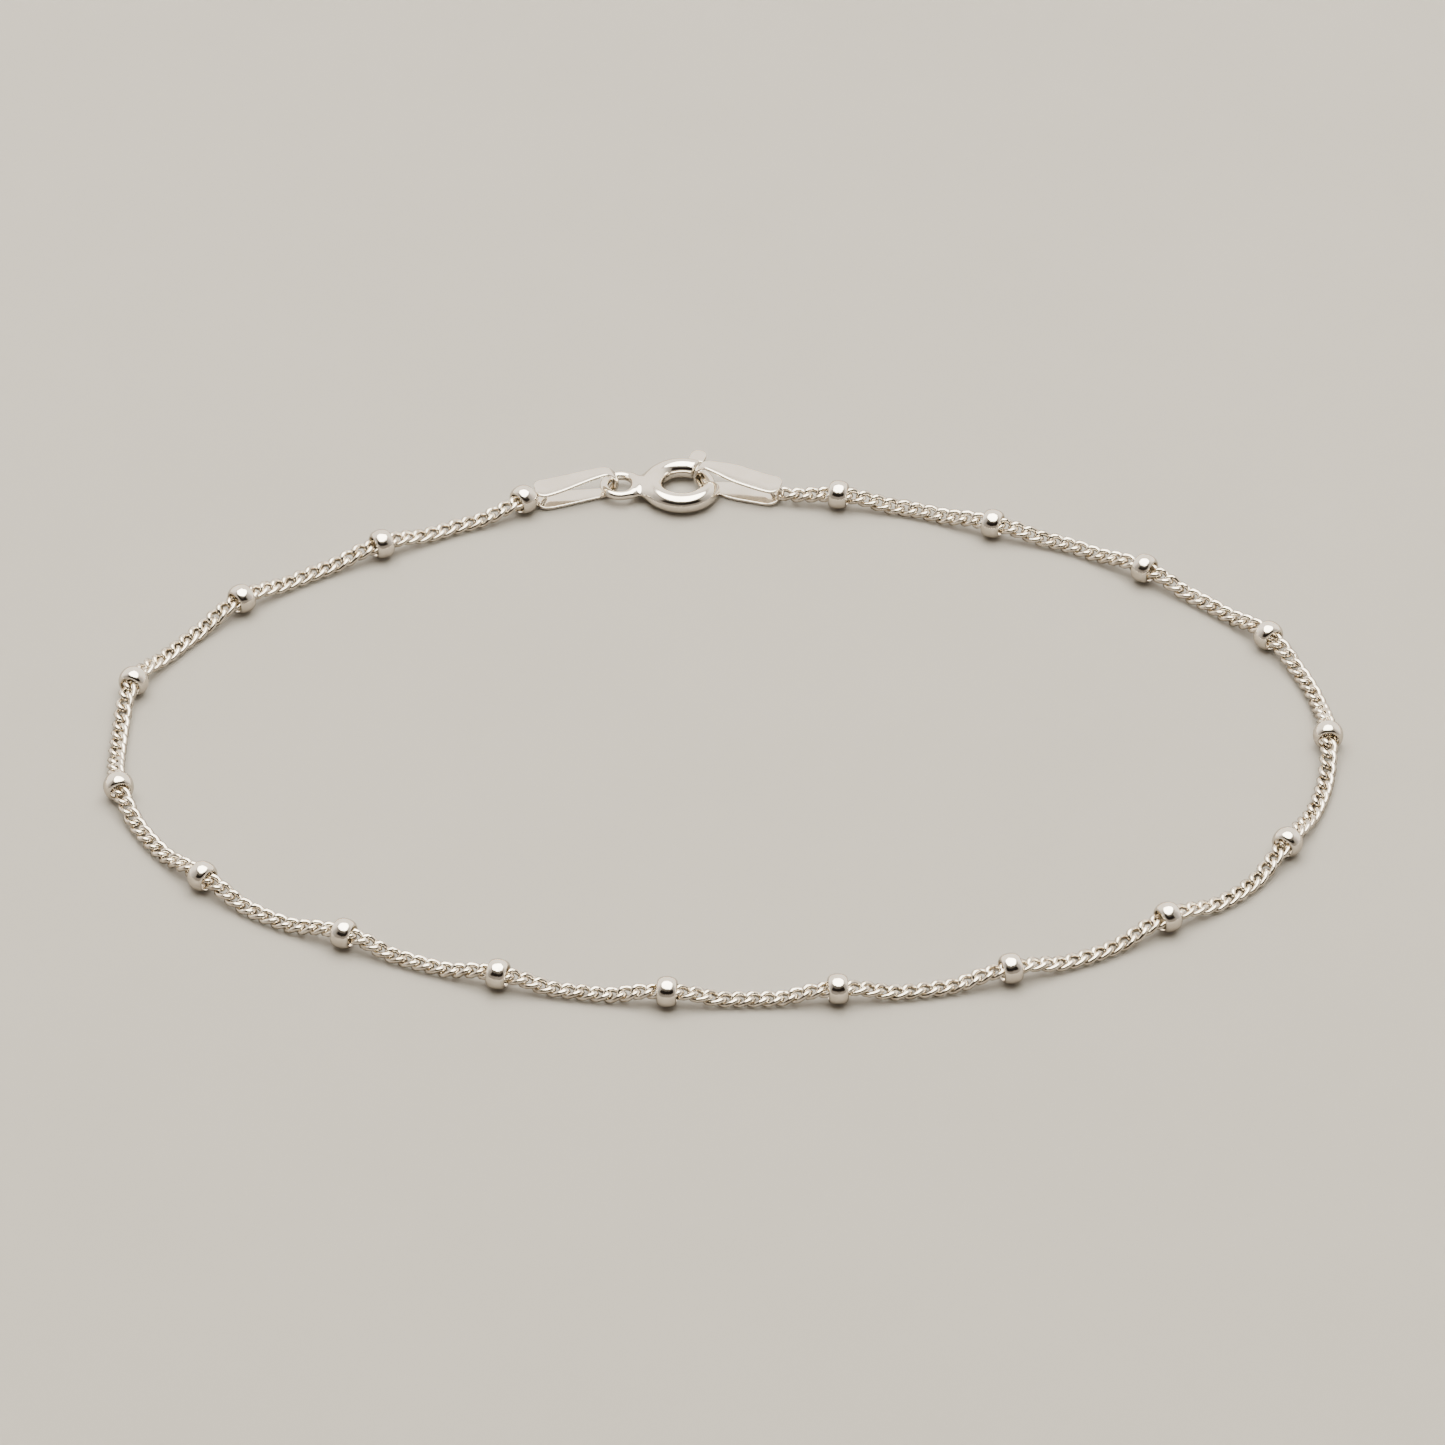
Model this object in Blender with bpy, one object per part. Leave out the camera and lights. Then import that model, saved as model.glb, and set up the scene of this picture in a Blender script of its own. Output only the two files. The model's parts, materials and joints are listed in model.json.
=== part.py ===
# Curb chain anklet in polished silver, lying on a surface as a closed loop.
# Metres, +Z up. Origin: centre of the bounding box in plan, on the surface it lies on.
# The clasp is at the back (+Y), the front of the loop is at -Y.

import math

import bmesh
import bpy
from mathutils import Vector

MM = 0.001
UP = Vector((0, 0, 1))


def unit(angle):
    return Vector((math.cos(angle), math.sin(angle), 0))


# Chain: each tube stands for the curb links, which fill the same round envelope
CHAIN_DIAMETER = 1.0 * MM
CHAIN_REST_GAP = 0.05 * MM
CHAIN_MEET_GAP = 0.3 * MM
CHAIN_POINT_SPACING = 2.1 * MM
CHAIN_SPLIT_SPAN = 8
SAG_START = 0.08
SAG_END = 0.36

# Beads: short half-round rings threaded on the chain
BEAD_DIAMETER = 2.26 * MM
BEAD_LENGTH = 1.44 * MM
BEAD_BORE = 1.45 * MM
BEAD_BORE_LENGTH = 1.34 * MM
BEAD_EDGE = 0.02 * MM
BEAD_SIDES = 14
BEAD_ARC_STEPS = 7

# Bolt ring: a hollow tube bent to an open ring, with a bolt that closes its gap
RING_CENTRE = Vector((-3.37, 28.0, 0.85)) * MM
RING_OUTER_DIAMETER = 6.0 * MM
RING_TUBE_DIAMETER = 1.55 * MM
BOLT_DIAMETER = 0.7 * MM
BOLT_CLEARANCE = 0.15 * MM
BOLT_SEAT_ANGLE = math.radians(21)
GAP_START = math.radians(-5.5)
GAP_END = math.radians(59)
BOLT_OVERLAP = math.radians(6)
BOLT_TAIL = math.radians(9)
SOCKET_DEPTH = math.radians(12)
TUBE_SIDES = 16
BORE_SIDES = 12
STEP_ANGLE = math.radians(8)

# Trigger: a flat tab on the bolt, drawn back along a slot in the ring
TRIGGER_ANGLE = math.radians(71)
TRIGGER_TRAVEL = math.radians(66)
TAB_WIDTH = 1.2 * MM
TAB_REACH = 1.5 * MM
TAB_THICKNESS = 0.34 * MM
TAB_NECK_WIDTH = 0.4 * MM
TAB_LIFT_OFF = 0.12 * MM
SLOT_CLEARANCE = 0.13 * MM

# End loop and the web that joins it to the ring
LOOP_OUTER_DIAMETER = 3.2 * MM
LOOP_WIRE_DIAMETER = 0.68 * MM
LOOP_NECK_GAP = 0.16 * MM
LOOP_SIDES = 10
LOOP_STEPS = 24
NECK_WAIST_WIDTH = 2.2 * MM
NECK_FLARE = 0.5
NECK_THIN = 0.6 * MM
NECK_THICK = 1.13 * MM
NECK_START_BITE = 0.26 * MM
NECK_STEPS = 6

# Folded tags: a strip folded round the bolt or the end loop, with the last link in its mouth
TAG_WIDTH = 2.1 * MM
TAG_WAIST = 0.8 * MM
TAG_THICKNESS = 0.25 * MM
TAG_SEAT_HEIGHT = 0.02 * MM
FOLD_HEIGHT = 2.28 * MM
MOUTH_HEIGHT = 1.5 * MM
FOLD_STEPS = 8
LEAF_STEPS = 9
LEAF_FALL_SHARE = 0.85
TAG_CORNER = 0.75 * MM

# Last link, soldered upright between the tips of a tag
LINK_WIRE = 0.34 * MM
LINK_LENGTH = 1.2 * MM
LINK_SINK = 0.3 * MM
LINK_SIDES = 6
LINK_STEPS = 16
LINK_BITE = 0.12 * MM
LINK_GAP = 0.3 * MM

# Route of the chain in plan, in millimetres, clockwise from the right of the clasp:
# the place of each bead, and how far the chain bows outward in the span that follows it
CHAIN_ROUTE = [
    (8.7, 26.5, 0.60),
    (20.5, 22.9, 0.80),
    (31.9, 17.4, 0.47),
    (40.9, 9.3, 1.02),
    (44.7, -2.4, 0.98),
    (41.0, -14.6, 1.08),
    (31.9, -22.9, 0.62),
    (20.4, -28.5, 0.45),
    (8.0, -30.7, 0.20),
    (-4.2, -31.0, 0.28),
    (-16.3, -29.1, 0.28),
    (-27.5, -24.7, 0.71),
    (-38.0, -18.4, 0.84),
    (-44.7, -8.3, 0.58),
    (-44.3, 3.9, 0.52),
    (-36.7, 13.7, 0.40),
    (-26.3, 20.4, 0.05),
]

# The last bead sits against the link in the left tag's mouth, in this direction from it
LAST_BEAD_HEADING = math.radians(204)

# Colour, roughness and metallic value of each finish
SILVER = ((0.86, 0.84, 0.81), 0.12, 1.0)
SILVER_CHAIN = ((0.80, 0.78, 0.74), 0.22, 1.0)

# Index of the first bead among the route's points, after the tag's link and the chain's end
FIRST_BEAD_INDEX = 2

BEAD_HEIGHT = BEAD_DIAMETER / 2
REST_HEIGHT = CHAIN_DIAMETER / 2 + CHAIN_REST_GAP
RING_RADIUS = (RING_OUTER_DIAMETER - RING_TUBE_DIAMETER) / 2
BORE_DIAMETER = BOLT_DIAMETER + 2 * BOLT_CLEARANCE
LOOP_RADIUS = (LOOP_OUTER_DIAMETER - LOOP_WIRE_DIAMETER) / 2
LOOP_OFFSET = RING_OUTER_DIAMETER / 2 + LOOP_NECK_GAP + LOOP_OUTER_DIAMETER / 2

# Each tag hangs by its fold: the right one on the bolt in the ring's gap, the left one on the
# end loop. Its heading runs from the fold to the mouth, the slack is the free room between
# the wire and the inside of the fold, and the flare is how far from the fold it widens.
TAGS = {
    "tag_right": {
        "wire": BOLT_DIAMETER,
        "seat": RING_CENTRE + RING_RADIUS * unit(BOLT_SEAT_ANGLE),
        "slack": 0.58 * MM,
        "heading": math.radians(-16),
        "length": 6.95 * MM,
        "flare": 3.8 * MM,
        "link_shift": 0.0,
    },
    "tag_left": {
        "wire": LOOP_WIRE_DIAMETER,
        "seat": RING_CENTRE - Vector((LOOP_OFFSET + LOOP_RADIUS, 0, 0)),
        "slack": 0.485 * MM,
        "heading": math.radians(193),
        "length": 6.55 * MM,
        "flare": 5.8 * MM,
        "link_shift": 0.4 * MM,
    },
}


def clear_scene():
    for obj in list(bpy.data.objects):
        bpy.data.objects.remove(obj, do_unlink=True)


def make_material(name, finish):
    colour, roughness, metallic = finish
    material = bpy.data.materials.new(name)
    material.use_nodes = True
    shader = material.node_tree.nodes["Principled BSDF"]
    shader.inputs["Base Color"].default_value = (*colour, 1.0)
    shader.inputs["Roughness"].default_value = roughness
    shader.inputs["Metallic"].default_value = metallic
    return material


def link_object(name, data, finish=None):
    obj = bpy.data.objects.new(name, data)
    bpy.context.collection.objects.link(obj)
    if finish:
        data.materials.append(make_material(name, finish))
    return obj


def finish_mesh(name, bm, finish=None, smooth_angle=40):
    bmesh.ops.recalc_face_normals(bm, faces=bm.faces)
    mesh = bpy.data.meshes.new(name)
    bm.to_mesh(mesh)
    bm.free()
    mesh.shade_smooth()
    mesh.set_sharp_from_angle(angle=math.radians(smooth_angle))
    return link_object(name, mesh, finish)


def hide_tool(obj):
    obj.hide_render = True
    obj.display_type = "WIRE"
    return obj


def add_boolean(obj, tool, operation):
    modifier = obj.modifiers.new(tool.name, "BOOLEAN")
    modifier.operation = operation
    modifier.solver = "EXACT"
    modifier.object = tool


def smooth_ramp(value, start, end):
    share = min(max((value - start) / (end - start), 0.0), 1.0)
    return share * share * (3 - 2 * share)


def ring_of_points(centre, across, up, radius, sides):
    return [
        centre + radius * (math.cos(turn) * across + math.sin(turn) * up)
        for turn in (2 * math.pi * (k + 0.5) / sides for k in range(sides))
    ]


def skin(bm, sections, closed=False):
    # Joins equal sections one after the other; an open run gets a cap at each end.
    rows = [[bm.verts.new(point) for point in section] for section in sections]
    pairs = list(zip(rows, rows[1:]))
    if closed:
        pairs.append((rows[-1], rows[0]))
    count = len(rows[0])
    for first, second in pairs:
        for k in range(count):
            m = (k + 1) % count
            bm.faces.new((first[k], first[m], second[m], second[k]))
    if not closed:
        bm.faces.new(rows[0])
        bm.faces.new(list(reversed(rows[-1])))


def arc_tube(centre, radius, tube_diameter, start, end, sides):
    # A round tube bent about the vertical through its centre, from one angle to the other.
    steps = max(3, math.ceil((end - start) / STEP_ANGLE))
    sections = []
    for k in range(steps + 1):
        outward = unit(start + (end - start) * k / steps)
        place = centre + radius * outward
        sections.append(ring_of_points(place, outward, UP, tube_diameter / 2, sides))
    bm = bmesh.new()
    skin(bm, sections)
    return bm


def bead_profile():
    # Inner wall of the bore, then the half-round outside, as (radius, along) pairs.
    bore = BEAD_BORE / 2
    base = bore + BEAD_EDGE
    rise = BEAD_DIAMETER / 2 - base
    points = [(bore, -BEAD_BORE_LENGTH / 2), (bore, BEAD_BORE_LENGTH / 2)]
    for k in range(BEAD_ARC_STEPS):
        turn = math.pi * (k + 0.5) / BEAD_ARC_STEPS
        points.append((base + rise * math.sin(turn), BEAD_LENGTH / 2 * math.cos(turn)))
    return points


def make_bead(name, place, heading):
    along = unit(heading)
    side = Vector((-along.y, along.x, 0))
    sections = []
    for k in range(BEAD_SIDES):
        turn = 2 * math.pi * k / BEAD_SIDES - math.pi / 2
        outward = math.cos(turn) * side + math.sin(turn) * UP
        sections.append([r * outward + a * along for r, a in bead_profile()])
    bm = bmesh.new()
    skin(bm, sections, closed=True)
    bead = finish_mesh(name, bm, SILVER)
    bead.location = place
    return bead


def last_bead_place():
    reach = (LINK_LENGTH + BEAD_LENGTH) / 2
    return (link_centre("tag_left") + reach * unit(LAST_BEAD_HEADING)).xy


def route_points():
    # Plan points in order: link and chain end at the right tag, the beads with the bowed
    # middle of each span between them, then chain end and link at the left tag.
    places = [Vector((x, y)) * MM for x, y, bow in CHAIN_ROUTE] + [last_bead_place()]
    points = [link_centre("tag_right").xy, chain_end("tag_right").xy]
    for k, place in enumerate(places[:-1]):
        step = places[k + 1] - place
        outward = Vector((-step.y, step.x)).normalized()
        points.append(place)
        points.append(place + step / 2 + outward * CHAIN_ROUTE[k][2] * MM)
    return points + [places[-1], chain_end("tag_left").xy, link_centre("tag_left").xy]


def slope(points, index):
    before = points[index] - points[index - 1]
    after = points[index + 1] - points[index]
    a, b = before.length, after.length
    return (before * (b / a) + after * (a / b)) / (a + b)


def curve_point(points, position):
    # Smooth curve through the points; a whole position is the point of that index.
    k = min(int(position), len(points) - 3)
    t = position - k
    span = (points[k + 1] - points[k]).length
    return (
        points[k] * (2 * t**3 - 3 * t**2 + 1)
        + slope(points, k) * span * (t**3 - 2 * t**2 + t)
        + points[k + 1] * (3 * t**2 - 2 * t**3)
        + slope(points, k + 1) * span * (t**3 - t**2)
    )


def chain_height(position):
    # Bead height in each bead, lying on the surface between beads, mouth height at the tags.
    spans = (position - FIRST_BEAD_INDEX) / 2
    past = max(-spans, spans - len(CHAIN_ROUTE)) * 2
    if past > 0:
        mouth = TAG_SEAT_HEIGHT + MOUTH_HEIGHT / 2
        return BEAD_HEIGHT + (mouth - BEAD_HEIGHT) * smooth_ramp(past, 0, 1)
    share = spans - math.floor(spans)
    fall = smooth_ramp(min(share, 1 - share), SAG_START, SAG_END)
    return BEAD_HEIGHT + (REST_HEIGHT - BEAD_HEIGHT) * fall


def chain_centres(points, first, last):
    centres = []
    position = first
    while position < last:
        end = min(math.floor(position) + 1, last)
        length = (curve_point(points, end) - curve_point(points, position)).length
        steps = max(1, round(length / CHAIN_POINT_SPACING))
        for k in range(steps):
            here = position + (end - position) * k / steps
            centres.append(curve_point(points, here).to_3d() + UP * chain_height(here))
        position = end
    centres.append(curve_point(points, last).to_3d() + UP * chain_height(last))
    return centres


def tag_frame(name):
    # Origin on the outside of the fold, then the directions along and across the strip.
    tag = TAGS[name]
    along = unit(tag["heading"])
    across = Vector((-along.y, along.x, 0))
    origin = tag["seat"] - along * (tag["wire"] / 2 + tag["slack"] + TAG_THICKNESS)
    origin.z = TAG_SEAT_HEIGHT
    return origin, along, across


def tag_outline(length, flare):
    # Side view of the strip as (along, height, width): lower leaf, fold, upper leaf.
    radius = (FOLD_HEIGHT - TAG_THICKNESS) / 2
    start = radius + TAG_THICKNESS / 2
    low = TAG_THICKNESS / 2
    high = MOUTH_HEIGHT - TAG_THICKNESS / 2
    rows = []
    leaf = [
        start + (length - start) * math.sin(math.pi / 2 * k / LEAF_STEPS)
        for k in range(LEAF_STEPS + 1)
    ]
    for along in reversed(leaf):
        rows.append((along, low))
    for k in range(1, FOLD_STEPS):
        turn = math.pi * k / FOLD_STEPS
        rows.append((start - radius * math.sin(turn), low + radius * (1 - math.cos(turn))))
    for along in leaf:
        fall = LEAF_FALL_SHARE * (length - start)
        even = min((along - start) / fall, 1)
        drop = (even + smooth_ramp(along, start, start + fall)) / 2
        rows.append((along, low + 2 * radius + (high - low - 2 * radius) * drop))
    return [(along, height, tag_width(along, length, flare)) for along, height in rows]


def tag_width(along, length, flare):
    widen = smooth_ramp(along, 0, flare)
    width = TAG_WAIST + (TAG_WIDTH - TAG_WAIST) * widen
    from_tip = length - along
    if from_tip < TAG_CORNER:
        inset = TAG_CORNER - max(from_tip, 0.0)
        cut = TAG_CORNER - math.sqrt(max(TAG_CORNER**2 - inset**2, 0.0))
        width -= 2 * cut
    return width


def link_centre(name):
    origin, along, across = tag_frame(name)
    tag = TAGS[name]
    centre = origin + along * (tag["length"] - LINK_SINK) + across * tag["link_shift"]
    centre.z = TAG_SEAT_HEIGHT + MOUTH_HEIGHT / 2
    return centre


def chain_end(name):
    # The chain's tube starts a gap beyond the last link.
    return link_centre(name) + unit(TAGS[name]["heading"]) * (LINK_LENGTH / 2 + LINK_GAP)


def make_end_link(name):
    # Upright oval whose sides bite into both leaves of the tag.
    centre = link_centre(name)
    along = unit(TAGS[name]["heading"])
    inside = MOUTH_HEIGHT - 2 * TAG_THICKNESS
    half_height = inside / 2 + LINK_BITE - LINK_WIRE / 2
    half_length = (LINK_LENGTH - LINK_WIRE) / 2
    side = Vector((-along.y, along.x, 0))
    sections = []
    for k in range(LINK_STEPS):
        turn = 2 * math.pi * k / LINK_STEPS
        outward = math.cos(turn) * along + math.sin(turn) * UP
        place = half_length * math.cos(turn) * along + Vector((0, 0, half_height * math.sin(turn)))
        sections.append(ring_of_points(centre + place, outward, side, LINK_WIRE / 2, LINK_SIDES))
    bm = bmesh.new()
    skin(bm, sections, closed=True)
    return hide_tool(finish_mesh(name + "_link_tool", bm))


def make_tag(name):
    origin, along, across = tag_frame(name)
    rows = tag_outline(TAGS[name]["length"], TAGS[name]["flare"])
    bm = bmesh.new()
    edges = []
    for reach, height, width in rows:
        place = origin + along * reach + Vector((0, 0, height))
        edges.append([bm.verts.new(place + across * width * share) for share in (-0.5, 0, 0.5)])
    for first, second in zip(edges, edges[1:]):
        for k in range(2):
            bm.faces.new((first[k], first[k + 1], second[k + 1], second[k]))
    tag = finish_mesh(name, bm, SILVER)
    solid = tag.modifiers.new("thickness", "SOLIDIFY")
    solid.thickness = TAG_THICKNESS
    solid.offset = 0
    solid.use_even_offset = True
    add_boolean(tag, make_end_link(name), "UNION")
    return tag


def neck_sections():
    # Elliptical sections from the rim of the end loop's hole into the ring's tube.
    start = -(LOOP_OFFSET - LOOP_RADIUS + NECK_START_BITE)
    end = -RING_RADIUS
    sections = []
    for k in range(NECK_STEPS + 1):
        share = k / NECK_STEPS
        half_width = NECK_WAIST_WIDTH / 2 * (1 + NECK_FLARE * share**2)
        half_height = (NECK_THIN + (NECK_THICK - NECK_THIN) * smooth_ramp(share, 0.2, 1)) / 2
        centre = RING_CENTRE + Vector((start + (end - start) * share, 0, 0))
        section = []
        for m in range(TUBE_SIDES):
            turn = 2 * math.pi * m / TUBE_SIDES
            section.append(
                centre + Vector((0, half_width * math.cos(turn), half_height * math.sin(turn)))
            )
        sections.append(section)
    return sections


def slot_cutter():
    # A curved channel in the ring's outer wall, for the tab's neck.
    margin = (TAB_NECK_WIDTH / 2 + SLOT_CLEARANCE) / RING_RADIUS
    start = TRIGGER_ANGLE - margin
    end = TRIGGER_ANGLE + TRIGGER_TRAVEL + margin
    half = TAB_THICKNESS / 2 + SLOT_CLEARANCE
    inner = RING_RADIUS
    outer = RING_OUTER_DIAMETER / 2 + RING_TUBE_DIAMETER / 2
    steps = math.ceil((end - start) / STEP_ANGLE)
    sections = []
    for k in range(steps + 1):
        outward = unit(start + (end - start) * k / steps)
        corners = ((inner, -half), (outer, -half), (outer, half), (inner, half))
        sections.append([RING_CENTRE + r * outward + Vector((0, 0, z)) for r, z in corners])
    bm = bmesh.new()
    skin(bm, sections)
    return hide_tool(finish_mesh("slot_tool", bm))


def make_bolt_ring():
    full = 2 * math.pi
    bm = arc_tube(
        RING_CENTRE, RING_RADIUS, RING_TUBE_DIAMETER, GAP_END, GAP_START + full, TUBE_SIDES
    )
    ring = finish_mesh("bolt_ring", bm, SILVER)

    loop_centre = RING_CENTRE - Vector((LOOP_OFFSET, 0, 0))
    sections = []
    for k in range(LOOP_STEPS):
        outward = unit(full * k / LOOP_STEPS)
        centre = loop_centre + LOOP_RADIUS * outward
        wire = LOOP_WIRE_DIAMETER / 2
        sections.append(ring_of_points(centre, outward, UP, wire, LOOP_SIDES))
    bm = bmesh.new()
    skin(bm, sections, closed=True)
    add_boolean(ring, hide_tool(finish_mesh("loop_tool", bm)), "UNION")

    bm = bmesh.new()
    skin(bm, neck_sections())
    add_boolean(ring, hide_tool(finish_mesh("neck_tool", bm)), "UNION")

    bolt_end = TRIGGER_ANGLE + TRIGGER_TRAVEL + BOLT_TAIL
    clear = BOLT_CLEARANCE / RING_RADIUS
    runs = {
        "bore_tool": (GAP_END - STEP_ANGLE, bolt_end + clear),
        "socket_tool": (GAP_START - SOCKET_DEPTH, GAP_START + STEP_ANGLE),
    }
    for name, (start, end) in runs.items():
        bm = arc_tube(RING_CENTRE, RING_RADIUS, BORE_DIAMETER, start, end, BORE_SIDES)
        add_boolean(ring, hide_tool(finish_mesh(name, bm)), "DIFFERENCE")
    add_boolean(ring, slot_cutter(), "DIFFERENCE")
    return ring


def tab_outline():
    # Neck through the slot, shoulders clear of the ring, then a rounded head.
    start = RING_RADIUS
    shoulder = RING_OUTER_DIAMETER / 2 + TAB_LIFT_OFF
    tip = RING_OUTER_DIAMETER / 2 + TAB_REACH
    half = TAB_WIDTH / 2
    neck = TAB_NECK_WIDTH / 2
    points = [(start, -neck), (shoulder, -neck), (shoulder, -half)]
    for k in range(9):
        turn = -math.pi / 2 + math.pi * k / 8
        points.append((tip - half + half * math.cos(turn), half * math.sin(turn)))
    return points + [(shoulder, half), (shoulder, neck), (start, neck)]


def make_trigger():
    # The bolt with its tab; the object's origin is on the ring's axis, about which it slides.
    tip = GAP_START - BOLT_OVERLAP
    tail = TRIGGER_ANGLE + BOLT_TAIL
    bm = arc_tube(Vector((0, 0, 0)), RING_RADIUS, BOLT_DIAMETER, tip, tail, BORE_SIDES)
    trigger = finish_mesh("trigger", bm, SILVER)
    trigger.location = RING_CENTRE
    radial = unit(TRIGGER_ANGLE)
    side = Vector((-radial.y, radial.x, 0))
    sections = []
    for height in (-TAB_THICKNESS / 2, TAB_THICKNESS / 2):
        sections.append([r * radial + s * side + Vector((0, 0, height)) for r, s in tab_outline()])
    bm = bmesh.new()
    skin(bm, sections)
    tab = hide_tool(finish_mesh("tab_tool", bm))
    tab.location = RING_CENTRE
    add_boolean(trigger, tab, "UNION")
    return trigger


def make_chain(name, centres):
    curve = bpy.data.curves.new(name, "CURVE")
    curve.dimensions = "3D"
    curve.bevel_depth = CHAIN_DIAMETER / 2
    curve.bevel_resolution = 2
    curve.use_fill_caps = True
    line = curve.splines.new("POLY")
    line.points.add(len(centres) - 1)
    for point, centre in zip(line.points, centres):
        point.co = (*centre, 1.0)
    return link_object(name, curve, SILVER_CHAIN)


def build():
    clear_scene()
    make_bolt_ring()
    make_trigger()
    for name in TAGS:
        make_tag(name)

    points = route_points()
    for k in range(len(CHAIN_ROUTE) + 1):
        index = FIRST_BEAD_INDEX + 2 * k
        heading = slope(points, index)
        place = points[index].to_3d() + UP * BEAD_HEIGHT
        make_bead(f"bead_{k + 1:02d}", place, math.atan2(heading.y, heading.x))

    # The two tubes meet in the middle of a front span.
    meet = FIRST_BEAD_INDEX + 2 * CHAIN_SPLIT_SPAN + 1
    half_gap = CHAIN_MEET_GAP / 2 * slope(points, meet).normalized().to_3d()
    right = chain_centres(points, FIRST_BEAD_INDEX - 1, meet)
    left = chain_centres(points, meet, len(points) - 2)
    right[-1] = right[-1] - half_gap
    left[0] = left[0] + half_gap
    make_chain("chain_right", right)
    make_chain("chain_left", left)


build()
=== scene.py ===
import json
import math

import bmesh
import bpy
import numpy as np
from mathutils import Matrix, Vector


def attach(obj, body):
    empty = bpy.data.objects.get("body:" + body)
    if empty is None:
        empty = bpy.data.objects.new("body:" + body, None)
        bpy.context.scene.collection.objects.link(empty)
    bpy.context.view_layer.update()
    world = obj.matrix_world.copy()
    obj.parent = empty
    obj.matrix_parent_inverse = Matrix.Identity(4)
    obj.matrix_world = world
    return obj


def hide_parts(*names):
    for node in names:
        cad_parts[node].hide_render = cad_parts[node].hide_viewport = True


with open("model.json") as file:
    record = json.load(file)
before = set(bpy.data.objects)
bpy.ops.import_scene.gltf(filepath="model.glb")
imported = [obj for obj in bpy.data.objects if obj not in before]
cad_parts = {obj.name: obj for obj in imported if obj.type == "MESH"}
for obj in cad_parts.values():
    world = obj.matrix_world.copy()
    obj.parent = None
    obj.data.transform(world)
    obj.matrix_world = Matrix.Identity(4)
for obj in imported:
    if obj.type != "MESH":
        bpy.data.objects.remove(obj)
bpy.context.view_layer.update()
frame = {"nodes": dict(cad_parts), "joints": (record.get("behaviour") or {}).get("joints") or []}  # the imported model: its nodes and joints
print("frame loaded,", len(frame["nodes"]), "nodes")

mm = 0.001  # sizes below are millimetres, and meshes are written in metres
ringCentre = np.array(frame["joints"][0]["pos_m"]) / mm
rng = np.random.default_rng(18)


# Camera and studio

cameraSettings = {
    "aim": (-0.24, -0.95, 1.13),  # the point in the middle of the picture
    "distance": 570.17,
    "elevation": 39.758,  # degrees above the table
    "lens": 191.05,
    "sensor": 36.0,
    "clip": (0.02, 20.0),  # metres
}


def placeCamera(s):
    # stands back from its aim by the distance, along the line that rises at its elevation
    data = bpy.data.cameras.new("camera")
    data.lens = s["lens"]
    data.sensor_width = s["sensor"]
    data.clip_start, data.clip_end = s["clip"]
    camera = bpy.data.objects.new("camera", data)
    bpy.context.scene.collection.objects.link(camera)
    rise = math.radians(s["elevation"])
    back = Vector((0, -math.cos(rise), math.sin(rise)))
    camera.location = (Vector(s["aim"]) + s["distance"] * back) * mm
    camera.rotation_euler = (-back).to_track_quat("-Z", "Y").to_euler()
    bpy.context.scene.camera = camera


placeCamera(cameraSettings)

studio = {
    "backdrop": (1.95, 1.76, 1.55),
    "sides": (0.62, 0.565, 0.50),
    "behindCamera": (0.36, 0.315, 0.27),
    "room": (0.016, 0.012, 0.009),  # the unlit room behind the camera
    "backFrom": (-0.55, 0.25),  # cosines of headings, from the backdrop's middle
    "frontFrom": (0.10, 0.70),  # and from the camera's
    "roomLow": (0.27, 0.42),  # sines of the heights between which it fades in
    "roomHigh": (0.66, 0.82),  # and out again
    "roomSide": (0.42, 0.62),  # cosines of its two sides' headings, from the camera's
    "rim": (0.70, 0.80),  # sines of the heights where the light falls off round the lamp
    "rimShade": 0.5,
    "lampHeight": 620.0,
    "lampBack": 40.0,
    "lampSize": 800.0,
    "lampPower": 17.0,
    "lampColour": (1.0, 0.955, 0.84),
}


def node(tree, kind, **values):
    # adds a node; a value named after a socket sets it, any other sets the node's own property
    made = tree.nodes.new(kind)
    for name, value in values.items():
        if name in made.inputs:
            made.inputs[name].default_value = value
        else:
            setattr(made, name, value)
    return made


def fade(tree, value, start, end, low=0.0, high=1.0):
    # smooth step of a value between two others
    made = node(tree, "ShaderNodeMapRange", interpolation_type="SMOOTHSTEP")
    for name, number in zip(("From Min", "From Max", "To Min", "To Max"), (start, end, low, high)):
        made.inputs[name].default_value = number
    tree.links.new(value, made.inputs["Value"])
    return made.outputs["Result"]


def times(tree, *factors):
    # product of other nodes' values
    total = factors[0]
    for factor in factors[1:]:
        product = node(tree, "ShaderNodeMath", operation="MULTIPLY")
        tree.links.new(total, product.inputs[0])
        tree.links.new(factor, product.inputs[1])
        total = product.outputs[0]
    return total


def blend(tree, share, first, second):
    # mix of two colours, each given or another node's
    made = node(tree, "ShaderNodeMix", data_type="RGBA")
    tree.links.new(share, made.inputs["Factor"])
    for socket, colour in ((made.inputs[6], first), (made.inputs[7], second)):
        if isinstance(colour, tuple):
            socket.default_value = (*colour, 1)
        else:
            tree.links.new(colour, socket)
    return made.outputs[2]


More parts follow.
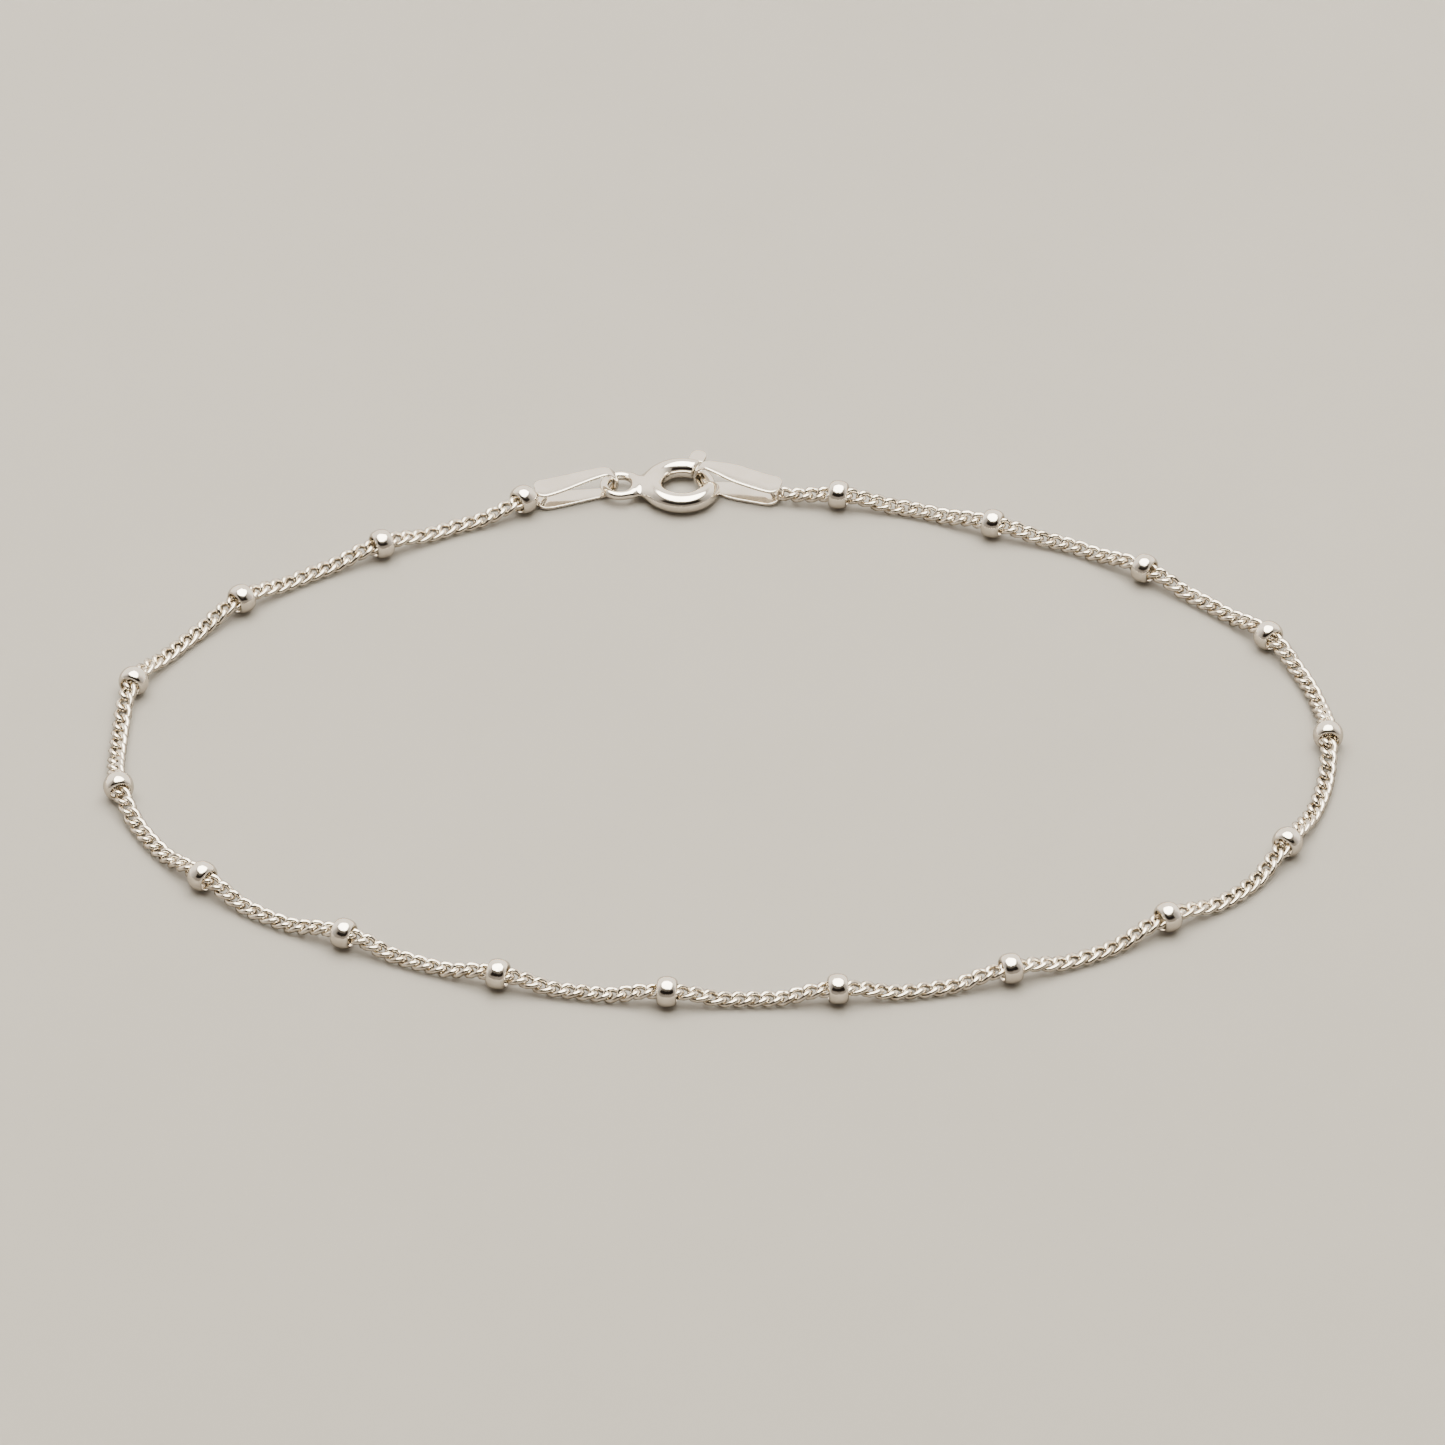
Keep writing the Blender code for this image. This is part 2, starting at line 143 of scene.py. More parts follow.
def lightStudio(s):
    # dome light by direction: a pale backdrop, greyer sides and front, and a dark room behind
    # the camera, which is a window of heights times a window of headings
    world = bpy.data.worlds.new("studio")
    bpy.context.scene.world = world
    world.use_nodes = True
    tree = world.node_tree
    tree.nodes.clear()
    link = tree.links.new
    way = node(tree, "ShaderNodeTexCoord").outputs["Generated"]
    parts = node(tree, "ShaderNodeSeparateXYZ")
    link(way, parts.inputs[0])
    flat = node(tree, "ShaderNodeVectorMath", operation="MULTIPLY")
    flat.inputs[1].default_value = (1, 1, 0)
    link(way, flat.inputs[0])
    heading = node(tree, "ShaderNodeVectorMath", operation="NORMALIZE")
    link(flat.outputs[0], heading.inputs[0])
    toCamera = node(tree, "ShaderNodeVectorMath", operation="DOT_PRODUCT")
    toCamera.inputs[1].default_value = (0, -1, 0)
    link(heading.outputs[0], toCamera.inputs[0])
    height = parts.outputs["Z"]
    seen = node(tree, "ShaderNodeLightPath").outputs["Is Camera Ray"]
    dark = times(
        tree,
        fade(tree, height, *s["roomLow"]),
        fade(tree, height, *s["roomHigh"], 1.0, 0.0),
        fade(tree, toCamera.outputs["Value"], *s["roomSide"]),
    )
    colour = blend(tree, fade(tree, toCamera.outputs["Value"], *s["backFrom"]), s["backdrop"], s["sides"])
    front = fade(tree, toCamera.outputs["Value"], *s["frontFrom"])
    colour = blend(tree, front, colour, s["behindCamera"])
    rim = node(tree, "ShaderNodeVectorMath", operation="SCALE")
    link(colour, rim.inputs[0])
    link(fade(tree, height, *s["rim"], 1.0, s["rimShade"]), rim.inputs["Scale"])
    whole = blend(tree, dark, rim.outputs[0], s["room"])
    shown = blend(tree, seen, whole, s["backdrop"])
    glow = node(tree, "ShaderNodeBackground", Strength=1.0)
    link(shown, glow.inputs["Color"])
    link(glow.outputs[0], node(tree, "ShaderNodeOutputWorld").inputs["Surface"])

    lamp = bpy.data.lights.new("overheadSoftbox", "AREA")
    lamp.shape = "DISK"
    lamp.size = s["lampSize"] * mm
    lamp.energy = s["lampPower"]
    lamp.color = s["lampColour"]
    holder = bpy.data.objects.new("overheadSoftbox", lamp)
    bpy.context.scene.collection.objects.link(holder)
    holder.location = (0, s["lampBack"] * mm, s["lampHeight"] * mm)
    toward = Vector((0, -s["lampBack"], -s["lampHeight"]))
    holder.rotation_euler = toward.to_track_quat("-Z", "Y").to_euler()


lightStudio(studio)
print("camera and studio placed")


# Shared shapes

upright = np.array([0, 0, 1.0])


def unit(degrees):
    # direction on the table: cosine and sine of its heading, seen from above
    turn = np.radians(degrees)
    return np.array([np.cos(turn), np.sin(turn), 0.0])


def unitRows(rows):
    # each row divided by its own length
    return rows / np.linalg.norm(rows, axis=1)[:, None]


def ramp(value, start, end):
    # smooth step, 3 s^2 - 2 s^3 of the share s between start and end
    share = np.clip((value - start) / (end - start), 0, 1)
    return share * share * (3 - 2 * share)


def gridQuads(rows, columns, ring=False):
    # faces between neighbours on a grid; columns always close, rows only on a ring
    row = np.arange(rows if ring else rows - 1)[:, None]
    column = np.arange(columns)[None, :]
    ahead = (row + 1) % rows
    beside = (column + 1) % columns
    corners = (
        row * columns + column,
        row * columns + beside,
        ahead * columns + beside,
        ahead * columns + column,
    )
    return np.stack(np.broadcast_arrays(*corners), -1).reshape(-1, 4)


def endCaps(rows, columns):
    # one flat face over each open end of a grid
    return [list(range(columns))[::-1], list(range((rows - 1) * columns, rows * columns))]


def putMesh(name, points, quads, caps=()):
    # the volume's sign, from the quads' corners, tells whether the faces point out
    a, b, c, d = (points[quads[:, k]] for k in range(4))
    volume = (np.cross(b - a, c - a) * a).sum() + (np.cross(c - a, d - a) * a).sum()
    faces = quads.tolist() + [list(cap) for cap in caps]
    if volume < 0:
        faces = [face[::-1] for face in faces]
    mesh = bpy.data.meshes.new(name)
    mesh.from_pydata((points * mm).tolist(), [], faces)
    mesh.shade_smooth()
    piece = bpy.data.objects.new(name, mesh)
    bpy.context.scene.collection.objects.link(piece)
    return piece


def dress(piece, material, slot, body, *nodes):
    # one finish all over, riding on its body in place of the CAD nodes
    piece.data.materials.clear()
    piece.data.materials.append(material)
    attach(piece, body)
    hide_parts(*nodes)


# Silver

hazeRange = (0.35, 0.68)  # the slow noise between which polish turns to haze


def silverMarksGroup():
    # polish haze and fine marks: a slow noise mixes two tints and two roughnesses,
    # and a fine one gives the height of faint dents
    group = bpy.data.node_groups.new("silverMarks", "ShaderNodeTree")
    socket = group.interface.new_socket
    socket("Vector", in_out="INPUT", socket_type="NodeSocketVector")
    for name in ("Haze Scale", "Mark Scale", "Rough Low", "Rough High"):
        socket(name, in_out="INPUT", socket_type="NodeSocketFloat")
    for name in ("Bright", "Dull"):
        socket(name, in_out="INPUT", socket_type="NodeSocketColor")
    socket("Color", in_out="OUTPUT", socket_type="NodeSocketColor")
    socket("Roughness", in_out="OUTPUT", socket_type="NodeSocketFloat")
    socket("Height", in_out="OUTPUT", socket_type="NodeSocketFloat")
    link = group.links.new
    given = node(group, "NodeGroupInput")
    put = node(group, "NodeGroupOutput")
    haze = node(group, "ShaderNodeTexNoise", Detail=3.0, Roughness=0.6)
    link(given.outputs["Vector"], haze.inputs["Vector"])
    link(given.outputs["Haze Scale"], haze.inputs["Scale"])
    clouds = fade(group, haze.outputs["Fac"], *hazeRange)
    tint = blend(group, clouds, given.outputs["Bright"], given.outputs["Dull"])
    link(tint, put.inputs["Color"])
    rough = node(group, "ShaderNodeMapRange")
    link(clouds, rough.inputs["Value"])
    link(given.outputs["Rough Low"], rough.inputs["To Min"])
    link(given.outputs["Rough High"], rough.inputs["To Max"])
    link(rough.outputs["Result"], put.inputs["Roughness"])
    marks = node(group, "ShaderNodeTexNoise", Detail=2.0, Roughness=0.5)
    link(given.outputs["Vector"], marks.inputs["Vector"])
    link(given.outputs["Mark Scale"], marks.inputs["Scale"])
    link(marks.outputs["Fac"], put.inputs["Height"])
    return group


silverMarks = silverMarksGroup()


def silver(name, s):
    # polished metal whose tint, roughness and dents come from the shared marks
    material = bpy.data.materials.new(name)
    material.use_nodes = True
    tree = material.node_tree
    link = tree.links.new
    shader = tree.nodes["Principled BSDF"]
    shader.inputs["Metallic"].default_value = 1.0
    place = node(tree, "ShaderNodeTexCoord")
    marks = node(tree, "ShaderNodeGroup", node_tree=silverMarks)
    for socket in ("Haze Scale", "Mark Scale", "Rough Low", "Rough High"):
        marks.inputs[socket].default_value = s[socket]
    for socket in ("Bright", "Dull"):
        marks.inputs[socket].default_value = (*s[socket], 1)
    link(place.outputs["Object"], marks.inputs["Vector"])
    link(marks.outputs["Color"], shader.inputs["Base Color"])
    link(marks.outputs["Roughness"], shader.inputs["Roughness"])
    bump = node(tree, "ShaderNodeBump", Strength=1.0, Distance=s["Depth"] * mm)
    link(marks.outputs["Height"], bump.inputs["Height"])
    link(bump.outputs["Normal"], shader.inputs["Normal"])
    return material


# scales are per metre, depth is in millimetres
silverFinishes = {
    "claspSilver": {
        "Bright": (0.965, 0.91, 0.815),
        "Dull": (0.89, 0.833, 0.74),
        "Rough Low": 0.07,
        "Rough High": 0.13,
        "Haze Scale": 700.0,
        "Mark Scale": 1400.0,
        "Depth": 0.004,
    },
    "tagSilver": {
        "Bright": (0.96, 0.905, 0.81),
        "Dull": (0.87, 0.815, 0.725),
        "Rough Low": 0.10,
        "Rough High": 0.17,
        "Haze Scale": 500.0,
        "Mark Scale": 2200.0,
        "Depth": 0.003,
    },
    "beadSilver": {
        "Bright": (0.95, 0.892, 0.795),
        "Dull": (0.83, 0.773, 0.675),
        "Rough Low": 0.06,
        "Rough High": 0.14,
        "Haze Scale": 1500.0,
        "Mark Scale": 2600.0,
        "Depth": 0.016,
    },
    "linkSilver": {
        "Bright": (0.87, 0.81, 0.705),
        "Dull": (0.59, 0.523, 0.43),
        "Rough Low": 0.05,
        "Rough High": 0.13,
        "Haze Scale": 1900.0,
        "Mark Scale": 5200.0,
        "Depth": 0.003,
    },
}
claspSilver, tagSilver, beadSilver, linkSilver = (
    silver(name, s) for name, s in silverFinishes.items()
)
print("silver finishes made")


# Bolt ring: tube, end loop and the soldered web between them, with the trigger on its bolt

ring = {
    "outer": 6.0,
    "tube": 1.55,
    "gapFrom": -5.5,  # degrees, seen from above
    "gapTo": 59.0,
    "lip": 0.30,  # how softly the tube's ends round off
    "bore": 1.0,
    "boreEdge": 0.05,
    "boreSpare": 12.0,  # degrees of bore past the drawn bolt's tail
    "socketDepth": 12.0,
    "bolt": 0.7,
    "boltOverlap": 6.0,
    "boltTail": 9.0,
    "triggerAt": 71.0,
    "travel": 66.0,
    "slotHalf": 0.30,
    "slotMargin": 8.5,
    "slotEdge": 0.05,
    "slotEnd": 0.1,
    "cutEdge": 0.07,  # rounding where bore and slot come out
    "loopOuter": 3.2,
    "loopWire": 0.68,
    "loopBlend": 0.45,
    "neckGap": 0.16,
    "webWaist": 2.2,
    "webFlare": 0.5,
    "webThin": 0.60,
    "webThick": 1.13,
    "webBlend": 0.55,
    "webBite": 0.4,  # of the loop's wire, that the web reaches into it
    "webRise": 0.2,  # share of its length before it thickens
    "webEdge": 0.2,
}
ringRadius = (ring["outer"] - ring["tube"]) / 2
loopRadius = (ring["loopOuter"] - ring["loopWire"]) / 2
loopOffset = ring["outer"] / 2 + ring["neckGap"] + ring["loopOuter"] / 2

tab = {
    "width": 1.2,
    "reach": 1.5,
    "thickness": 0.34,
    "neck": 0.4,
    "liftOff": 0.12,
    "edge": 0.07,
    "shoulderEdge": 0.15,
    "neckBlend": 0.12,
    "boltBlend": 0.1,
}
casting = {
    "voxel": 0.042,
    "rounds": 7,
    "walks": 3,  # steps to the surface in each round
    "evening": 0.6,  # share of its neighbours' mean that a point takes on
    "stride": 0.06,
    "leastSlope": 0.05,  # of the slope squared, where the field is flat
}


def softMin(a, b, blend):
    # smaller of two distances, with a fillet where they are nearly equal
    near = np.maximum(blend - np.abs(a - b), 0) / blend
    return np.minimum(a, b) - near * near * blend / 4


def softMax(a, b, blend):
    # larger of two distances, rounded where they are nearly equal
    return -softMin(-a, -b, blend)


def hoop(p, radius, wire):
    # distance to a round wire bent to a flat circle
    return np.hypot(np.hypot(p[:, 0], p[:, 1]) - radius, p[:, 2]) - wire / 2


def sector(p, start, end):
    # positive between two headings, as the distance to the nearer of the two planes
    first, second = unit(start), unit(end)
    past = first[0] * p[:, 1] - first[1] * p[:, 0]
    before = second[1] * p[:, 0] - second[0] * p[:, 1]
    return np.minimum(past, before)


def webField(p):
    # elliptic section between the loop's wire and the ring's tube, wider and thicker to the ring
    start = -(loopOffset - loopRadius + ring["webBite"] * ring["loopWire"])
    share = np.clip((p[:, 0] - start) / (-ringRadius - start), 0, 1)
    width = ring["webWaist"] / 2 * (1 + ring["webFlare"] * share**2)
    rise = ramp(share, ring["webRise"], 1)
    height = (ring["webThin"] + (ring["webThick"] - ring["webThin"]) * rise) / 2
    section = (np.hypot(p[:, 1] / width, p[:, 2] / height) - 1) * height
    inside = np.maximum(ringRadius - np.hypot(p[:, 0], p[:, 1]), p[:, 0])
    return softMax(section, np.maximum(start - p[:, 0], inside), ring["webEdge"])


def ringField(p):
    # open tube, web and end loop run together, less the bolt's bore and the slot for its neck
    tube = hoop(p, ringRadius, ring["tube"])
    body = softMax(tube, sector(p, ring["gapFrom"], ring["gapTo"]), ring["lip"])
    loop = hoop(p + (loopOffset, 0, 0), loopRadius, ring["loopWire"])
    body = softMin(body, webField(p), ring["webBlend"])
    body = softMin(body, loop, ring["loopBlend"])
    boltEnd = ring["triggerAt"] + ring["travel"] + ring["boltTail"]
    boreSpan = sector(p, ring["gapFrom"] - ring["socketDepth"], boltEnd + ring["boreSpare"])
    bore = softMax(hoop(p, ringRadius, ring["bore"]), -boreSpan, ring["boreEdge"])
    body = softMax(body, -bore, ring["cutEdge"])
    span = sector(
        p,
        ring["triggerAt"] - ring["slotMargin"],
        ring["triggerAt"] + ring["travel"] + ring["slotMargin"],
    )
    out = ringRadius - np.hypot(p[:, 0], p[:, 1])
    slot = softMax(out, np.abs(p[:, 2]) - ring["slotHalf"], ring["slotEdge"])
    slot = softMax(slot, -span, ring["slotEnd"])
    return softMax(body, -slot, ring["cutEdge"])


def triggerField(p):
    # bolt: a bent round bar with round ends; tab: a flat plate with a round head
    middle = (ring["gapFrom"] - ring["boltOverlap"] + ring["triggerAt"] + ring["boltTail"]) / 2
    half = np.radians(ring["triggerAt"] + ring["boltTail"] - middle)
    turn = np.arctan2(p[:, 1], p[:, 0]) - np.radians(middle)
    turn = np.clip((turn + np.pi) % (2 * np.pi) - np.pi, -half, half) + np.radians(middle)
    centre = ringRadius * np.stack([np.cos(turn), np.sin(turn), 0 * turn], 1)
    bolt = np.linalg.norm(p - centre, axis=1) - ring["bolt"] / 2
    radial = unit(ring["triggerAt"])
    out = p @ radial
    side = np.abs(p[:, 1] * radial[0] - p[:, 0] * radial[1])
    shoulder = ring["outer"] / 2 + tab["liftOff"]
    tip = ring["outer"] / 2 + tab["reach"] - tab["width"] / 2
    head = np.hypot(np.maximum(out - tip, 0), side) - tab["width"] / 2
    head = softMax(head, shoulder - out, tab["shoulderEdge"])
    neck = np.maximum(side - tab["neck"] / 2, np.maximum(ringRadius - out, out - tip))
    plate = softMin(head, neck, tab["neckBlend"])
    flat = np.abs(p[:, 2]) - tab["thickness"] / 2
    rounded = np.maximum(np.stack([plate, flat], 1) + tab["edge"], 0)
    plate = np.linalg.norm(rounded, axis=1) + np.minimum(np.maximum(plate, flat), 0) - tab["edge"]
    return softMin(bolt, plate, tab["boltBlend"])


def slopeOf(field, p):
    # gradient of a field, by central differences
    step = 0.002
    sides = []
    for axis in range(3):
        shift = np.zeros(3)
        shift[axis] = step
        sides.append((field(p + shift) - field(p - shift)) / (2 * step))
    return np.stack(sides, 1)


def castPiece(name, nodeName, field):
    # the node's own solid is remeshed evenly, then its points are evened out among their
    # neighbours and walked down the field's slope to where it is zero
    bm = bmesh.new()
    bm.from_mesh(frame["nodes"][nodeName].data)
    bmesh.ops.remove_doubles(bm, verts=bm.verts, dist=1e-7)
    mesh = bpy.data.meshes.new(name)
    bm.to_mesh(mesh)
    bm.free()
    points = np.empty(len(mesh.vertices) * 3, np.float32)
    mesh.vertices.foreach_get("co", points)
    mesh.vertices.foreach_set("co", (points / mm).astype(np.float32))
    blank = bpy.data.objects.new(name + "Blank", mesh)
    bpy.context.scene.collection.objects.link(blank)
    remesh = blank.modifiers.new("even", "REMESH")
    remesh.mode = "VOXEL"
    remesh.voxel_size = casting["voxel"]
    even = blank.evaluated_get(bpy.context.evaluated_depsgraph_get()).to_mesh()
    p = np.empty(len(even.vertices) * 3)
    even.vertices.foreach_get("co", p)
    p = p.reshape(-1, 3) - ringCentre
    edges = np.empty(len(even.edges) * 2, int)
    even.edges.foreach_get("vertices", edges)
    edges = edges.reshape(-1, 2)
    quads = np.empty(len(even.loops), int)
    even.loops.foreach_get("vertex_index", quads)
    quads = quads.reshape(-1, 4)
    bpy.data.objects.remove(blank)
    count = np.bincount(edges.ravel(), minlength=len(p))[:, None]
    share = casting["evening"]
    for k in range(casting["rounds"]):
        if k < casting["rounds"] - 1:
            total = np.zeros_like(p)
            np.add.at(total, edges[:, 0], p[edges[:, 1]])
            np.add.at(total, edges[:, 1], p[edges[:, 0]])
            p = (1 - share) * p + share * total / count
        for step in range(casting["walks"]):
            slope = slopeOf(field, p)
            size = np.maximum((slope * slope).sum(1), casting["leastSlope"])
            move = (field(p) / size)[:, None] * slope
            p = p - np.clip(move, -casting["stride"], casting["stride"])
    return putMesh(name, p + ringCentre, quads)


ringBody = castPiece("ringBody", "bolt_ring", ringField)
dress(ringBody, claspSilver, "polished_silver", "anklet", "bolt_ring")
triggerBolt = castPiece("triggerBolt", "trigger", triggerField)
dress(triggerBolt, claspSilver, "polished_silver", "trigger", "trigger")
print("bolt ring and trigger cast,", len(ringBody.data.polygons), "faces")


# Folded tags

tagShape = {
    "width": 2.1,
    "thickness": 0.25,
    "edge": 0.12,
    "seatHeight": 0.02,
    "foldHeight": 2.28,
    "mouthHeight": 1.5,
    "fallShare": 0.85,
    "corner": 0.75,
    "hook": 0.2,  # the lower leaf's tip turns up to it
    "hookLength": 1.1,
    "leafSteps": 60,
    "foldSteps": 40,
    "tipSteps": 14,
    "step": 0.11,
    "sides": 28,
    "crease": 55.0,  # degrees past which an edge stays sharp
    "linkWire": 0.34,
    "linkLength": 1.2,
    "linkSink": 0.3,
    "linkBite": 0.12,
    "linkGap": 0.3,
    "linkSteps": 48,
    "linkSides": 16,
}
tags = {
    "tagRight": {
        "node": "tag_right",
        "wire": ring["bolt"],
        "seat": ringCentre + ringRadius * unit(21.0),
        "slack": 0.58,
        "heading": -16.0,
        "length": 6.95,
        "waist": 0.8,
        "flare": 3.8,
        "linkShift": 0.0,
    },
    "tagLeft": {
        "node": "tag_left",
        "wire": ring["loopWire"],
        "seat": ringCentre - (loopOffset + loopRadius, 0, 0),
        "slack": 0.485,
        "heading": 193.0,
        "length": 6.55,
        "waist": 1.0,
        "flare": 6.3,
        "linkShift": 0.4,
    },
}


def tagAxes(tag):
    # outside of the fold on the table, then the directions along and across the strip
    along = unit(tag["heading"])
    across = np.array([-along[1], along[0], 0.0])
    origin = tag["seat"] - along * (tag["wire"] / 2 + tag["slack"] + tagShape["thickness"])
    return np.array([origin[0], origin[1], tagShape["seatHeight"]]), along, across


def linkCentre(tag):
    # middle of the last link, sunk a little into the mouth
    origin, along, across = tagAxes(tag)
    centre = origin + along * (tag["length"] - tagShape["linkSink"]) + across * tag["linkShift"]
    return np.array([centre[0], centre[1], tagShape["seatHeight"] + tagShape["mouthHeight"] / 2])


def leafLine(length):
    # side view of the strip's middle: lower leaf from its tip, half-round fold, upper leaf
    t = tagShape
    low = t["thickness"] / 2
    high = t["mouthHeight"] - low
    radius = (t["foldHeight"] - t["thickness"]) / 2
    start = radius + low
    reach = np.linspace(start, length, t["leafSteps"])
    end = start + t["fallShare"] * (length - start)
    fall = (np.clip((reach - start) / (end - start), 0, 1) + ramp(reach, start, end)) / 2
    upper = low + 2 * radius + (high - low - 2 * radius) * fall
    lower = low + t["hook"] * ramp(reach, length - t["hookLength"], length)
    turn = np.linspace(0, np.pi, t["foldSteps"])[1:-1]
    fold = (start - radius * np.sin(turn), low + radius * (1 - np.cos(turn)))
    along = np.concatenate([reach[::-1], fold[0], reach])
    height = np.concatenate([lower[::-1], fold[1], upper])
    return np.stack([along, height], 1)


def tagWidth(along, tag):
    # widens from the fold, and rounds off at the tip as a quarter circle on each corner
    t = tagShape
    width = tag["waist"] + (t["width"] - tag["waist"]) * ramp(along, 0, tag["flare"])
    inset = np.clip(t["corner"] - (tag["length"] - along), 0, t["corner"])
    return width - 2 * (t["corner"] - np.sqrt(t["corner"] ** 2 - inset**2))


def roundedSection(sides):
    # unit directions of a rounded rectangle's outline: its corner, then the arc's own direction
    turn = 2 * np.pi * (np.arange(sides) + 0.5) / sides
    arc = np.stack([np.cos(turn), np.sin(turn)], 1)
    return np.sign(arc), arc


def makeTag(name, tag):
    # strip: a rounded rectangle carried along the leaf line, drawn in over its last steps
    t = tagShape
    origin, along, across = tagAxes(tag)
    line = leafLine(tag["length"])
    steps = np.concatenate([[0], np.cumsum(np.linalg.norm(np.diff(line, axis=0), axis=1))])
    total = steps[-1]
    close = t["corner"] * (1 - np.cos(np.linspace(0, np.pi / 2, t["tipSteps"])))
    tips = np.concatenate([close[:-1], np.arange(close[-1], total / 2, t["step"])])
    stations = np.concatenate([tips, total - tips[::-1]])
    reach = np.interp(stations, steps, line[:, 0])
    height = np.interp(stations, steps, line[:, 1])
    tangent = unitRows(np.stack([np.gradient(reach, stations), np.gradient(height, stations)], 1))
    normal = np.stack([-tangent[:, 1], tangent[:, 0]], 1)
    edge = t["edge"]
    inset = edge - np.minimum(np.minimum(stations, total - stations), edge)
    drawn = edge - np.sqrt(edge**2 - inset**2)
    corner, arc = roundedSection(t["sides"])
    halfWidth = (tagWidth(reach, tag) / 2 - drawn)[:, None]
    halfThick = (t["thickness"] / 2 - drawn)[:, None]
    edge = np.minimum(edge, halfThick * 0.98)  # the section never quite closes to a round
    sideways = corner[None, :, 0] * (halfWidth - edge) + arc[None, :, 0] * edge
    upward = corner[None, :, 1] * (halfThick - edge) + arc[None, :, 1] * edge
    alongPart = reach[:, None] + normal[:, 0:1] * upward
    heightPart = height[:, None] + normal[:, 1:2] * upward
    points = (
        origin
        + alongPart[..., None] * along
        + heightPart[..., None] * upright
        + sideways[..., None] * across
    ).reshape(-1, 3)
    size = len(stations), t["sides"]
    strip = putMesh(name, points, gridQuads(*size), endCaps(*size))

    # last link: an upright oval of round wire, soldered to both leaves
    inside = t["mouthHeight"] - 2 * t["thickness"]
    halfHeight = inside / 2 + t["linkBite"] - t["linkWire"] / 2
    halfLength = (t["linkLength"] - t["linkWire"]) / 2
    turn = np.linspace(0, 2 * np.pi, t["linkSteps"], endpoint=False)[:, None]
    around = np.linspace(0, 2 * np.pi, t["linkSides"], endpoint=False)[None, :]
    outward = np.cos(turn)[..., None] * along + np.sin(turn)[..., None] * upright
    middle = (
        linkCentre(tag)
        + (halfLength * np.cos(turn))[..., None] * along
        + (halfHeight * np.sin(turn))[..., None] * upright
    )
    wire = t["linkWire"] / 2
    loop = middle + wire * (np.cos(around)[..., None] * outward + np.sin(around)[..., None] * across)
    quads = gridQuads(t["linkSteps"], t["linkSides"], ring=True)
    link = putMesh(name + "Link", loop.reshape(-1, 3), quads)
    solder = strip.modifiers.new("solder", "BOOLEAN")
    solder.operation = "UNION"
    solder.object = link
    whole = strip.evaluated_get(bpy.context.evaluated_depsgraph_get())
    mesh = bpy.data.meshes.new_from_object(whole)
    strip.modifiers.clear()
    strip.data = mesh
    mesh.shade_smooth()
    mesh.set_sharp_from_angle(angle=math.radians(t["crease"]))
    bpy.data.objects.remove(link)
    return strip


for name, tag in tags.items():
    dress(makeTag(name, tag), tagSilver, "polished_silver", "anklet", tag["node"])
print("tags folded")


# Route of the chain, in millimetres, clockwise from the right of the clasp. Columns: x and y of
# each bead, outward bow of the span after it, and how far the chain is rolled there in degrees

route = np.array([
    (8.7, 26.5, 0.60, 22),
    (20.5, 22.9, 0.80, 24),
    (31.9, 17.4, 0.47, 6),
    (40.9, 9.3, 1.02, 16),
    (44.7, -2.4, 0.98, -8),
    (41.0, -14.6, 1.08, 0),
    (31.9, -22.9, 0.62, 0),
    (20.4, -28.5, 0.45, 2),
    (8.0, -30.7, 0.20, -3),
    (-4.2, -31.0, 0.28, -3),
    (-16.3, -29.1, 0.28, -3),
    (-27.5, -24.7, 0.71, 0),
    (-38.0, -18.4, 0.84, -4),
    (-44.7, -8.3, 0.58, -14),
    (-44.3, 3.9, 0.52, 0),
    (-36.7, 13.7, 0.40, 14),
    (-26.3, 20.4, 0.05, 16),
])
chain = {
    "pitch": 1.033,
    "joinPitch": 0.92,  # from a tag's soldered link to the next
    "wire": 0.38,
    "halfLength": 0.74,  # of the wire's centre line
    "halfWidth": 0.485,
    "fullness": 2.4,  # 2 is an ellipse, more is squarer
    "twist": -100.0,
    "lift": 0.03,  # of the lowest links above the table, for the jitter of their roll
    "splitAfter": 8,  # the two runs meet in the middle of the span after this bead
    "rollJitter": 3.0,
    "steps": 14,
    "sides": 5,
    "swell": 1.14,  # five flat sides would look thinner than round wire
    "fineSteps": 6001,  # along the route, to measure it
}
bead = {
    "outer": 2.26,
    "length": 1.44,
    "bore": 1.45,
    "lip": 0.05,
    "sides": 64,
    "crownSteps": 31,
    "crownPower": 0.9,  # 1 is half an ellipse, less is fuller
    "wallSteps": 5,
    "crease": 50.0,
    "lastHeading": 204.0,
    "sagFrom": 0.08,
    "sagTo": 0.36,
}


def routePlan():
    # tag link, chain end, then beads with the bowed middle of each span, chain end, tag link
    right, left = linkCentre(tags["tagRight"])[:2], linkCentre(tags["tagLeft"])[:2]
    gap = tagShape["linkLength"] / 2 + tagShape["linkGap"]
    reach = (tagShape["linkLength"] + bead["length"]) / 2
    beads = np.vstack([route[:, :2], left + reach * unit(bead["lastHeading"])[:2]])
    step = np.diff(beads, axis=0)
    outward = unitRows(np.stack([-step[:, 1], step[:, 0]], 1))
    bowed = beads[:-1] + step / 2 + outward * route[:, 2:3]
    spans = np.stack([beads[:-1], bowed], 1).reshape(-1, 2)
    rightEnd = right + gap * unit(tags["tagRight"]["heading"])[:2]
    leftEnd = left + gap * unit(tags["tagLeft"]["heading"])[:2]
    return np.vstack([right, rightEnd, spans, beads[-1], leftEnd, left])


plan = routePlan()
beadCount = len(route) + 1
beadAt = 2 + 2 * np.arange(beadCount)  # each bead's place among the plan's points


